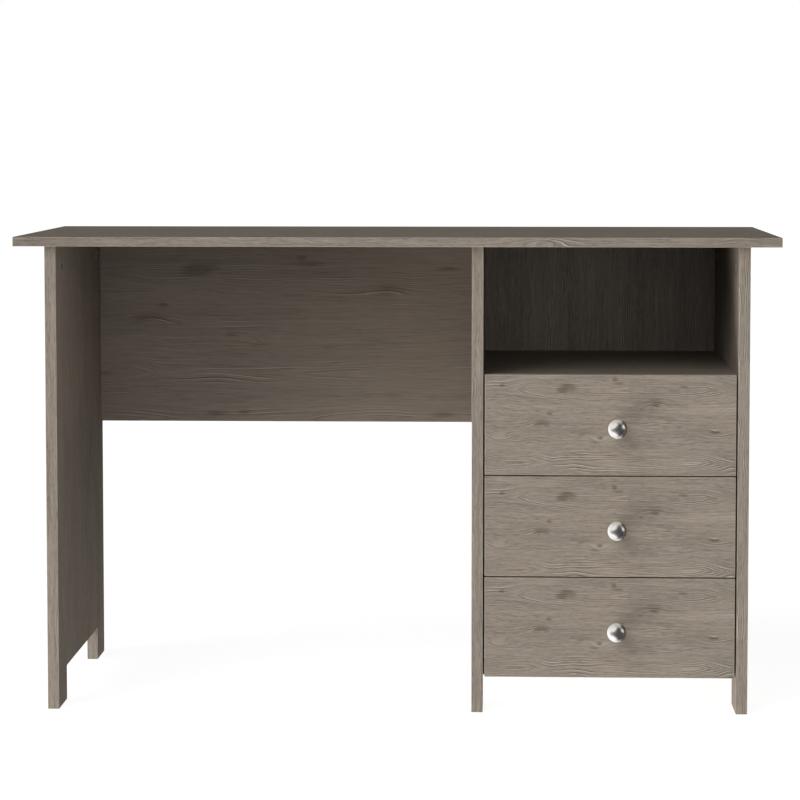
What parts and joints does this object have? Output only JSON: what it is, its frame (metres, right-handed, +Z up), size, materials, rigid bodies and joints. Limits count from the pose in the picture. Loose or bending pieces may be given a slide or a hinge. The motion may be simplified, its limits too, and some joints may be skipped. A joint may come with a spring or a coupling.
{
  "type": "writing desk with drawers",
  "caption": "Writing desk in grey-brown oak laminate: a kneehole with a modesty panel at the left, an open compartment over a stack of drawers with ball knobs at the right.",
  "frame": {"origin": "on the floor, in the middle of the desk's length and of its depth from the knobs to the top's rear edge", "axes": "+X along the desk, to the right of a person sitting at it; -Y towards that person (the drawer fronts face -Y) and +Y to the back; +Z up"},
  "size_m": [1.2, 0.5196, 0.75],
  "materials": {
    "oak_laminate": "grey-brown oak print laminate, matt, on chipboard",
    "drawer_board": "plain grey-brown laminate, matt, on chipboard",
    "thin_hardboard": "hardboard with a printed face",
    "satin_nickel": "satin nickel plate",
    "beech": "bare beech",
    "white_nylon": "moulded white nylon",
    "runner_enamel": "off-white baked enamel on sheet steel",
    "zinc_plated": "zinc plate"
  },
  "bodies": {
    "desk_frame": {"tabletop": "oak_laminate", "left_side_panel": "oak_laminate", "middle_side_panel": "oak_laminate", "right_side_panel": "oak_laminate", "modesty_panel": "oak_laminate", "cabinet_shelf": "oak_laminate", "cabinet_base_panel": "oak_laminate", "cabinet_back_panel": "thin_hardboard", "cam_lock_housings": "zinc_plated", "cam_lock_bolts": "zinc_plated", "wood_dowels": "beech", "cabinet_runner_screws": "zinc_plated", "cabinet_runner_left_bottom": "runner_enamel", "cabinet_runner_right_bottom": "runner_enamel", "cabinet_runner_left_middle": "runner_enamel", "cabinet_runner_right_middle": "runner_enamel", "cabinet_runner_left_top": "runner_enamel", "cabinet_runner_right_top": "runner_enamel"},
    "bottom_drawer": {"bottom_drawer_front": "oak_laminate", "bottom_drawer_left_side": "drawer_board", "bottom_drawer_right_side": "drawer_board", "bottom_drawer_back": "drawer_board", "bottom_drawer_bottom": "thin_hardboard", "bottom_drawer_knob": "satin_nickel", "bottom_drawer_knob_screw": "zinc_plated", "bottom_drawer_left_runner": "runner_enamel", "bottom_drawer_right_runner": "runner_enamel", "bottom_drawer_screws": "zinc_plated"},
    "middle_drawer": {"middle_drawer_front": "oak_laminate", "middle_drawer_left_side": "drawer_board", "middle_drawer_right_side": "drawer_board", "middle_drawer_back": "drawer_board", "middle_drawer_bottom": "thin_hardboard", "middle_drawer_knob": "satin_nickel", "middle_drawer_knob_screw": "zinc_plated", "middle_drawer_left_runner": "runner_enamel", "middle_drawer_right_runner": "runner_enamel", "middle_drawer_screws": "zinc_plated"},
    "top_drawer": {"top_drawer_front": "oak_laminate", "top_drawer_left_side": "drawer_board", "top_drawer_right_side": "drawer_board", "top_drawer_back": "drawer_board", "top_drawer_bottom": "thin_hardboard", "top_drawer_knob": "satin_nickel", "top_drawer_knob_screw": "zinc_plated", "top_drawer_left_runner": "runner_enamel", "top_drawer_right_runner": "runner_enamel", "top_drawer_screws": "zinc_plated"},
    "front_roller_left_bottom": {"front_roller_left_bottom": "white_nylon"},
    "bottom_drawer_left_roller": {"bottom_drawer_left_roller": "white_nylon"},
    "front_roller_right_bottom": {"front_roller_right_bottom": "white_nylon"},
    "bottom_drawer_right_roller": {"bottom_drawer_right_roller": "white_nylon"},
    "front_roller_left_middle": {"front_roller_left_middle": "white_nylon"},
    "middle_drawer_left_roller": {"middle_drawer_left_roller": "white_nylon"},
    "front_roller_right_middle": {"front_roller_right_middle": "white_nylon"},
    "middle_drawer_right_roller": {"middle_drawer_right_roller": "white_nylon"},
    "front_roller_left_top": {"front_roller_left_top": "white_nylon"},
    "top_drawer_left_roller": {"top_drawer_left_roller": "white_nylon"},
    "front_roller_right_top": {"front_roller_right_top": "white_nylon"},
    "top_drawer_right_roller": {"top_drawer_right_roller": "white_nylon"}
  },
  "joints": [
    {"name": "bottom_drawer_slide", "type": "slide", "parent": "desk_frame", "child": "bottom_drawer", "axis": [0, -1, 0], "range_m": [0, 0.32]},
    {"name": "middle_drawer_slide", "type": "slide", "parent": "desk_frame", "child": "middle_drawer", "axis": [0, -1, 0], "range_m": [0, 0.32]},
    {"name": "top_drawer_slide", "type": "slide", "parent": "desk_frame", "child": "top_drawer", "axis": [0, -1, 0], "range_m": [0, 0.32]},
    {"name": "front_roller_left_bottom_spin", "type": "hinge", "parent": "desk_frame", "child": "front_roller_left_bottom", "pos_m": [0.1426, -0.19725, 0.0901], "axis": [1, 0, 0], "range_deg": [0, 2160]},
    {"name": "bottom_drawer_left_roller_spin", "type": "hinge", "parent": "bottom_drawer", "child": "bottom_drawer_left_roller", "pos_m": [0.14385, 0.17675, 0.08785], "axis": [1, 0, 0], "range_deg": [0, 2160]},
    {"name": "front_roller_right_bottom_spin", "type": "hinge", "parent": "desk_frame", "child": "front_roller_right_bottom", "pos_m": [0.5289, -0.19725, 0.0901], "axis": [1, 0, 0], "range_deg": [0, 2160]},
    {"name": "bottom_drawer_right_roller_spin", "type": "hinge", "parent": "bottom_drawer", "child": "bottom_drawer_right_roller", "pos_m": [0.52765, 0.17675, 0.08785], "axis": [1, 0, 0], "range_deg": [0, 2160]},
    {"name": "front_roller_left_middle_spin", "type": "hinge", "parent": "desk_frame", "child": "front_roller_left_middle", "pos_m": [0.1426, -0.19725, 0.2501], "axis": [1, 0, 0], "range_deg": [0, 2160]},
    {"name": "middle_drawer_left_roller_spin", "type": "hinge", "parent": "middle_drawer", "child": "middle_drawer_left_roller", "pos_m": [0.14385, 0.17675, 0.24785], "axis": [1, 0, 0], "range_deg": [0, 2160]},
    {"name": "front_roller_right_middle_spin", "type": "hinge", "parent": "desk_frame", "child": "front_roller_right_middle", "pos_m": [0.5289, -0.19725, 0.2501], "axis": [1, 0, 0], "range_deg": [0, 2160]},
    {"name": "middle_drawer_right_roller_spin", "type": "hinge", "parent": "middle_drawer", "child": "middle_drawer_right_roller", "pos_m": [0.52765, 0.17675, 0.24785], "axis": [1, 0, 0], "range_deg": [0, 2160]},
    {"name": "front_roller_left_top_spin", "type": "hinge", "parent": "desk_frame", "child": "front_roller_left_top", "pos_m": [0.1426, -0.19725, 0.4101], "axis": [1, 0, 0], "range_deg": [0, 2160]},
    {"name": "top_drawer_left_roller_spin", "type": "hinge", "parent": "top_drawer", "child": "top_drawer_left_roller", "pos_m": [0.14385, 0.17675, 0.40785], "axis": [1, 0, 0], "range_deg": [0, 2160]},
    {"name": "front_roller_right_top_spin", "type": "hinge", "parent": "desk_frame", "child": "front_roller_right_top", "pos_m": [0.5289, -0.19725, 0.4101], "axis": [1, 0, 0], "range_deg": [0, 2160]},
    {"name": "top_drawer_right_roller_spin", "type": "hinge", "parent": "top_drawer", "child": "top_drawer_right_roller", "pos_m": [0.52765, 0.17675, 0.40785], "axis": [1, 0, 0], "range_deg": [0, 2160]}
  ],
  "couplings": [
    {"joint": "front_roller_left_bottom_spin", "follows": "bottom_drawer_slide", "rad_per_m": 117.65},
    {"joint": "bottom_drawer_left_roller_spin", "follows": "bottom_drawer_slide", "rad_per_m": 117.65},
    {"joint": "front_roller_right_bottom_spin", "follows": "bottom_drawer_slide", "rad_per_m": 117.65},
    {"joint": "bottom_drawer_right_roller_spin", "follows": "bottom_drawer_slide", "rad_per_m": 117.65},
    {"joint": "front_roller_left_middle_spin", "follows": "middle_drawer_slide", "rad_per_m": 117.65},
    {"joint": "middle_drawer_left_roller_spin", "follows": "middle_drawer_slide", "rad_per_m": 117.65},
    {"joint": "front_roller_right_middle_spin", "follows": "middle_drawer_slide", "rad_per_m": 117.65},
    {"joint": "middle_drawer_right_roller_spin", "follows": "middle_drawer_slide", "rad_per_m": 117.65},
    {"joint": "front_roller_left_top_spin", "follows": "top_drawer_slide", "rad_per_m": 117.65},
    {"joint": "top_drawer_left_roller_spin", "follows": "top_drawer_slide", "rad_per_m": 117.65},
    {"joint": "front_roller_right_top_spin", "follows": "top_drawer_slide", "rad_per_m": 117.65},
    {"joint": "top_drawer_right_roller_spin", "follows": "top_drawer_slide", "rad_per_m": 117.65}
  ]
}
